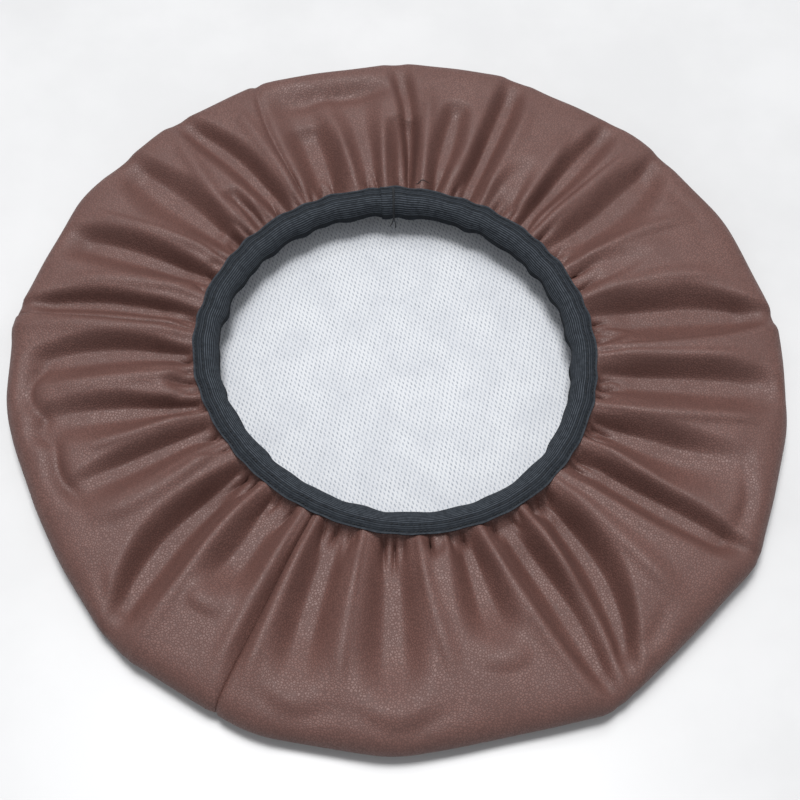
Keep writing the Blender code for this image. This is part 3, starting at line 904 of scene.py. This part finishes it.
def make_band():
    turned = np.arange(0.0, 360.0 + LAP_SPAN + BAND_STEP / 2, BAND_STEP)
    fraction = np.linspace(0.0, 1.0, BAND_ROWS)
    relief, ribbed = band_relief(fraction)
    t, f = np.meshgrid(turned, fraction, indexing="ij")
    outer = band_surface(f, t, BAND_THICKNESS / 2 + relief[None, :])
    inner = band_surface(f, t, -BAND_THICKNESS / 2 + 0.3 * relief[None, :])
    piece = sheet_between("elastic_ring", outer, inner, False, ELASTIC)
    flat = np.stack([np.radians(t) * BAND_RADIUS, f * BAND_WIDTH, np.zeros_like(t)], axis=-1)
    keep_rest(piece, [flat, flat], "flat")
    # How ribbed each point is, kept for the elastic's painted rib highlight.
    rib_highlight = piece.data.attributes.new("rib_highlight", "FLOAT", "POINT")
    rib_highlight.data.foreach_set("value", np.tile(ribbed, 2 * len(turned)).astype(np.float32))
    return piece


def band_stitches(name, start, end, middle, lift, raised, radius, arch):
    """Stitches on the band between places given as (fraction, turned), each bowing out over its middle."""
    starts, ends = (band_surface(*place, lift + raised) for place in (start, end))
    ups = (band_surface(*middle, lift + MM) - band_surface(*middle, lift)) / MM
    return stitches(name, starts, ends, ups, radius, arch, BLACK_THREAD)


def band_row(name, channel, pitch, length, radius, slant):
    """Stitches all round the band in one channel."""
    count = int(360.0 / pitch)
    rng = np.random.default_rng(int(channel * 1000))
    turned = (np.arange(count) + 0.5) * 360.0 / count + rng.uniform(-0.1, 0.1, count) * pitch + 4.0
    half = np.degrees(length / 2 / BAND_RADIUS)
    lift = BAND_THICKNESS / 2 + np.where(turned < LAP_SPAN + 1.5, LAP_LIFT, 0.0)
    fraction = channel + rng.uniform(-0.006, 0.006, count)
    start, end = (fraction - slant, turned - half), (fraction + slant, turned + half)
    return band_stitches(name, start, end, (fraction, turned), lift, 0.0, radius, 0.00030)


def make_bartack():
    """The bar of zigzag thread across the lap."""
    fraction = np.linspace(0.10, 0.985, BARTACK_PASSES)
    turned = np.full(BARTACK_PASSES, lap_turn)
    half = 0.42 * np.where(np.arange(BARTACK_PASSES) % 2 == 0, 1.0, -1.0)
    start, end = (fraction, turned - half), (fraction + 0.012, turned + half)
    lift = BAND_THICKNESS / 2 + LAP_LIFT
    return band_stitches("lap_bartack", start, end, (fraction, turned), lift, 0.0002, 0.00033, 0.00035)


BARTACK_PASSES = 46
lap_turn = LAP_SPAN / 2
band = make_band()
outer_row = band_row("elastic_stitches_outer", STITCH_CHANNELS[0], 1.25, 0.0024, 0.00028, 0.008)
inner_row = band_row("elastic_stitches_inner", STITCH_CHANNELS[1], 1.65, 0.0026, 0.00026, 0.012)
bar = make_bartack()

TAIL_STATIONS, TAIL_SIDES = 40, 8


def thread_tail(name, route, radius):
    """A loose end of black thread along a smooth route."""
    path, _ = curve_through(route, TAIL_STATIONS)
    run = unit(np.gradient(path, axis=0))
    side = unit(np.cross(run, (0.0, 0.0, 1.0)))
    points = path[:, None] + circles(side, np.cross(side, run), TAIL_SIDES) * radius
    return add_threads(name, points[None], BLACK_THREAD)


def join(pieces):
    """One mesh from several, named after the first."""
    with bpy.context.temp_override(active_object=pieces[0], selected_editable_objects=pieces):
        bpy.ops.object.join()
    return pieces[0]


# Two tails hang from the bar: radius in mm, then for each point (degrees from the lap's middle, fraction
# across the band, lift in mm, and how far it hangs along X, Y and Z in mm)
HANGING_TAILS = (
    (0.45, ((0, 0.96, 2.2, 0, 0, 0), (-0.3, 1, 2.0, 0, -1, -2), (-0.5, 1, 2.0, 0.3, -3, -6),
            (-0.2, 1, 2.0, 0.8, -3.5, -10))),
    (0.40, ((0, 0.95, 2.2, 0, 0, 0), (0.3, 1, 2.0, 0, -1, -2), (0.5, 1, 2.0, -0.4, -2, -5),
            (0.9, 1, 2.0, -1.0, -2.5, -8))),
)
# A third lies on the leather beside the lap: (angle, radius) of each point
LOOSE_PLACES = ((80.4, 0.1760), (81.6, 0.1735), (82.8, 0.1728), (83.8, 0.1702), (84.6, 0.1712))
LOOSE_RADIUS, LOOSE_LIFT = 0.0003, 0.0017
tails = []
for radius, places in HANGING_TAILS:
    route = [band_surface(fraction, lap_turn + turned, lift * MM) + np.array(hang) * MM
             for turned, fraction, lift, *hang in places]
    tails.append(thread_tail("lap_tail", route, radius * MM))
# Only over the section's upper half does a radius have one place.
upper = slice(len(SECTION) // 2, None)
loose_route = []
for angle, radius in LOOSE_PLACES:
    slant = np.interp(-radius, -SECTION[upper, 0], SECTION_LENGTH[upper])
    loose_route.append(gusset_surface(angle, slant) + (0.0, 0.0, LOOSE_LIFT))
tails.append(thread_tail("loose_tail", loose_route, LOOSE_RADIUS))
bar = join([bar] + tails)

# ---------------- the seams' stitches, inside the cover
SEAM_DEPTH = 0.0028
RIM_STITCH_COUNT, SEAM_STITCH_COUNT = 520, 52
# How much of the pitch a stitch covers
STITCH_SHARE = 0.8


def rim_stitches():
    angles = np.arange(RIM_STITCH_COUNT) * 360.0 / RIM_STITCH_COUNT
    half = 180.0 / RIM_STITCH_COUNT * STITCH_SHARE
    inset = 0.020 + BACKING_THICKNESS
    height = backing_high.z + GAP + BACKING_THICKNESS + 0.0016
    start, end = (on_circle(soft_rim(turned) - inset, height, turned)
                  for turned in (angles - half, angles + half))
    ups = np.tile((0.0, 0.0, 1.0), (RIM_STITCH_COUNT, 1))
    return stitches("rim_seam_stitches", start, end, ups, 0.0004, 0.0003, BROWN_THREAD)


def gusset_seam_stitches(name, seam):
    slant = np.linspace(0.030, SLANT - 0.014, SEAM_STITCH_COUNT)
    half = STITCH_SHARE / 2 * (slant[1] - slant[0])
    inward = -seam_line(seam, slant)[1]
    start, end = (gusset_surface(np.full(SEAM_STITCH_COUNT, seam), place) + inward * SEAM_DEPTH
                  for place in (slant - half, slant + half))
    return stitches(name, start, end, inward, 0.0004, 0.0003, BROWN_THREAD)


rim_thread = rim_stitches()
left_thread = gusset_seam_stitches("left_seam_stitches", LEFT_SEAM)
front_thread = gusset_seam_stitches("front_seam_stitches", FRONT_SEAM)

# ---------------- what the face and band pieces move with, and the CAD part each piece hides
for piece, body, node, slot in (
    (face, "cloth_shell", "face_panel", "leatherette"),
    (backing, "cloth_shell", "face_backing", "knit_backing"),
    (rim_thread, "cloth_shell", "rim_seam_thread", "brown_thread"),
    (band, "mouth_ring", "elastic_band", "elastic"),
    (outer_row, "mouth_ring", "elastic_stitching_outer", "black_thread"),
    (inner_row, "mouth_ring", "elastic_stitching_inner", "black_thread"),
    (bar, "mouth_ring", "elastic_bartack", "black_thread"),
):
    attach(piece, body)
    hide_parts(node)


def follow_mouth(piece, node, slot):
    """Bakes a piece's placement into its points, and hides the CAD part that it takes the place of."""
    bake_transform(piece)
    points = np.zeros(len(piece.data.vertices) * 3, np.float32)
    piece.data.vertices.foreach_get("co", points)
    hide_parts(node)


for piece, node, slot in (
    (gusset["leather_long"], "gusset_panel_long", "leatherette"),
    (gusset["leather_short"], "gusset_panel_short", "leatherette"),
    (gusset["lining_long"], "gusset_backing_long", "knit_backing"),
    (gusset["lining_short"], "gusset_backing_short", "knit_backing"),
    (left_thread, "left_gusset_seam_thread", "brown_thread"),
    (front_thread, "front_gusset_seam_thread", "brown_thread"),
):
    follow_mouth(piece, node, slot)


def round_cut(inset):
    """The square that a disc of the face is cut from, and the disc's own area."""
    across = 2 * (RIM_RADIUS - inset)
    return (across, across), math.pi * across**2 / 4


flat, area = round_cut(FACE_INSET)
flat, area = round_cut(KNIT_INSET)

# ---------------- stage, light and camera
CAMERA_AIM = Vector((0.0029, -0.0232, 0.0))
CAMERA_DISTANCE = 1.2
CAMERA_ELEVATION = math.radians(61.7)
CAMERA_LENS, CAMERA_SENSOR = 64.7, 36.0
FLOOR_GAP = 0.0002
FLOOR_REACH = 6.0
SKY_COLOUR, SKY_STRENGTH = (0.95, 0.97, 1.0, 1.0), 0.50


def add_floor():
    mesh = bpy.data.meshes.new("floor")
    low = cad_low.z - FLOOR_GAP
    corners = [(x * FLOOR_REACH, y * FLOOR_REACH, low) for x, y in ((-1, -1), (1, -1), (1, 1), (-1, 1))]
    mesh.from_pydata(corners, [], [(0, 1, 2, 3)])
    mesh.materials.append(floor_finish())
    add_object("floor", mesh)


def add_light(name, place, size, power):
    """A soft rectangular light that faces the cover's middle."""
    light = bpy.data.lights.new(name, "AREA")
    light.shape = "RECTANGLE"
    light.size, light.size_y = size
    light.energy = power
    item = add_object(name, light)
    item.location = place
    item.rotation_euler = (-Vector(place)).to_track_quat("-Z", "Y").to_euler()


def add_camera():
    camera = bpy.data.cameras.new("camera")
    camera.lens = CAMERA_LENS
    camera.sensor_width = CAMERA_SENSOR
    item = add_object("camera", camera)
    back = Vector((0.0, -math.cos(CAMERA_ELEVATION), math.sin(CAMERA_ELEVATION)))
    item.location = CAMERA_AIM + back * CAMERA_DISTANCE
    item.rotation_euler = (-back).to_track_quat("-Z", "Y").to_euler()
    bpy.context.scene.camera = item


def add_sky():
    world = bpy.data.worlds.new("studio")
    world.use_nodes = True
    background = world.node_tree.nodes["Background"]
    background.inputs["Color"].default_value = SKY_COLOUR
    background.inputs["Strength"].default_value = SKY_STRENGTH
    bpy.context.scene.world = world


add_floor()
add_light("back_window", (-0.8, 4.6, 8.4), (3.2, 2.2), 240.0)
add_light("overhead", (-0.2, 1.2, 6.0), (2.2, 1.8), 342.0)
add_light("front_fill", (0.3, -2.6, 1.2), (3.0, 1.6), 8.0)
add_camera()
add_sky()
bpy.context.scene.view_settings.view_transform = "Standard"
